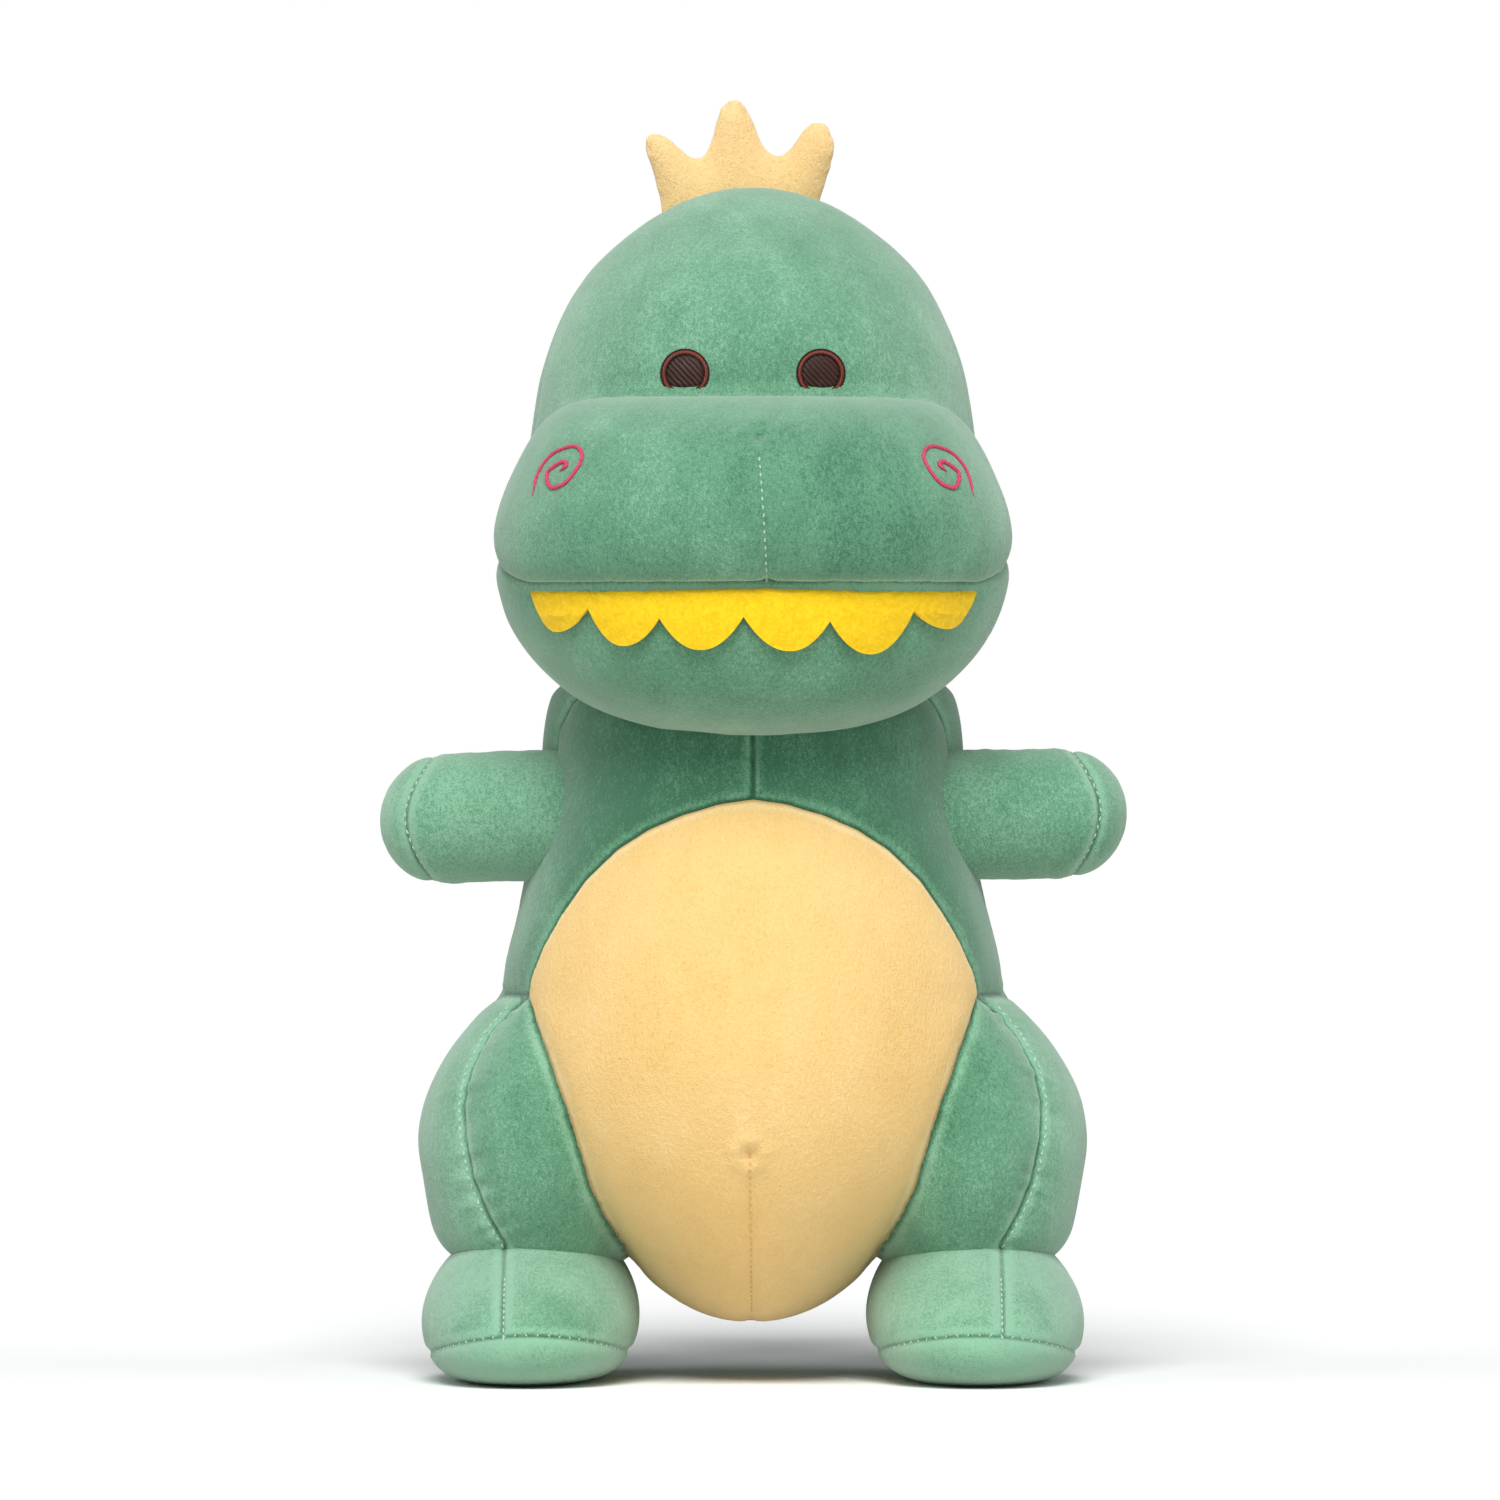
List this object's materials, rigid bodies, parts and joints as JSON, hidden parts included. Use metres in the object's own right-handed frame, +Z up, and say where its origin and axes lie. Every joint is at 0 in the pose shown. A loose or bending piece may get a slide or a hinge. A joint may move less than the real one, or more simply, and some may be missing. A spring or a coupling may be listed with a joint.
{
  "type": "stuffed dinosaur",
  "caption": "Standing plush dinosaur with a broad muzzle, felt teeth, padded crest, stub arms, pale belly and padded feet; head, arms, tail, crest and ankles flex.",
  "frame": {"origin": "on the floor under the middle of the toy's box", "axes": "+Z up, the dinosaur faces -Y, its left side is +X"},
  "size_m": [0.262, 0.2888, 0.4495],
  "materials": {
    "plush_green": "matte",
    "plush_yellow": "matte",
    "felt_yellow": "matte",
    "thread_pale": "matte",
    "thread_yellow": "matte",
    "thread_brown": "satin",
    "thread_rust": "satin",
    "thread_crimson": "satin",
    "filling": "matte"
  },
  "bodies": {
    "torso": {"body_stuffing": "filling", "belly_panel": "plush_yellow", "chest_panel_left": "plush_green", "chest_panel_right": "plush_green", "back_panel_left": "plush_green", "back_panel_right": "plush_green", "thigh_panel_left": "plush_green", "thigh_panel_right": "plush_green", "hip_panel_left": "plush_green", "hip_panel_right": "plush_green", "belly_dart_thread": "thread_yellow", "thigh_seam_thread_left": "thread_pale", "thigh_seam_thread_right": "thread_pale", "chest_seam_thread": "thread_pale"},
    "neck": {"neck_stuffing": "filling"},
    "head": {"head_stuffing": "filling", "forehead_panel": "plush_green", "muzzle_panel": "plush_green", "jaw_panel": "plush_green", "head_back_panel_left": "plush_green", "head_back_panel_right": "plush_green", "muzzle_seam_thread": "thread_pale", "eye_centre_left": "thread_brown", "eye_centre_right": "thread_brown", "eye_ring_left": "thread_rust", "eye_ring_right": "thread_rust", "nostril_left": "thread_crimson", "nostril_right": "thread_crimson", "felt_teeth": "felt_yellow"},
    "crest": {"crest_front_panel": "plush_yellow", "crest_back_panel": "plush_yellow", "crest_stuffing": "filling"},
    "tail": {"tail_panel_left": "plush_green", "tail_panel_right": "plush_green", "tail_stuffing": "filling"},
    "shoulder_left": {"shoulder_stuffing_left": "filling"},
    "arm_left": {"arm_front_panel_left": "plush_green", "arm_back_panel_left": "plush_green", "arm_tip_panel_left": "plush_green", "arm_stuffing_left": "filling"},
    "foot_left": {"foot_inner_panel_left": "plush_green", "foot_outer_panel_left": "plush_green", "foot_stuffing_left": "filling", "sole_left": "plush_green", "foot_seam_thread_left": "thread_pale"},
    "shoulder_right": {"shoulder_stuffing_right": "filling"},
    "arm_right": {"arm_front_panel_right": "plush_green", "arm_back_panel_right": "plush_green", "arm_tip_panel_right": "plush_green", "arm_stuffing_right": "filling"},
    "foot_right": {"foot_inner_panel_right": "plush_green", "foot_outer_panel_right": "plush_green", "foot_stuffing_right": "filling", "sole_right": "plush_green", "foot_seam_thread_right": "thread_pale"}
  },
  "joints": [
    {"name": "head_turn", "type": "hinge", "parent": "torso", "child": "neck", "pos_m": [0, -0.015, 0.238], "axis": [0, 0, 1], "range_deg": [-25, 25], "stiffness_Nm_per_rad": 0.8},
    {"name": "head_nod", "type": "hinge", "parent": "neck", "child": "head", "pos_m": [0, -0.015, 0.238], "axis": [1, 0, 0], "range_deg": [-9, 9], "stiffness_Nm_per_rad": 3},
    {"name": "crest_flop", "type": "hinge", "parent": "head", "child": "crest", "pos_m": [0, 0.004, 0.413], "axis": [1, 0, 0], "range_deg": [-20, 20], "stiffness_Nm_per_rad": 0.02},
    {"name": "tail_wag", "type": "hinge", "parent": "torso", "child": "tail", "pos_m": [0, 0.046, 0.072], "axis": [0, 0, 1], "range_deg": [-20, 20], "stiffness_Nm_per_rad": 0.3},
    {"name": "arm_left_swing", "type": "hinge", "parent": "torso", "child": "shoulder_left", "pos_m": [0.072, -0.032, 0.1985], "axis": [0, 0, -1], "range_deg": [-20, 20], "stiffness_Nm_per_rad": 0.15},
    {"name": "arm_left_raise", "type": "hinge", "parent": "shoulder_left", "child": "arm_left", "pos_m": [0.072, -0.032, 0.1985], "axis": [0, -1, 0], "range_deg": [-20, 20], "stiffness_Nm_per_rad": 0.25},
    {"name": "ankle_left", "type": "hinge", "parent": "torso", "child": "foot_left", "pos_m": [0.075, -0.028, 0.046], "axis": [1, 0, 0], "range_deg": [-8, 8], "stiffness_Nm_per_rad": 6},
    {"name": "arm_right_swing", "type": "hinge", "parent": "torso", "child": "shoulder_right", "pos_m": [-0.072, -0.032, 0.1985], "axis": [0, 0, 1], "range_deg": [-20, 20], "stiffness_Nm_per_rad": 0.15},
    {"name": "arm_right_raise", "type": "hinge", "parent": "shoulder_right", "child": "arm_right", "pos_m": [-0.072, -0.032, 0.1985], "axis": [0, 1, 0], "range_deg": [-20, 20], "stiffness_Nm_per_rad": 0.25},
    {"name": "ankle_right", "type": "hinge", "parent": "torso", "child": "foot_right", "pos_m": [-0.075, -0.028, 0.046], "axis": [1, 0, 0], "range_deg": [-8, 8], "stiffness_Nm_per_rad": 6}
  ]
}
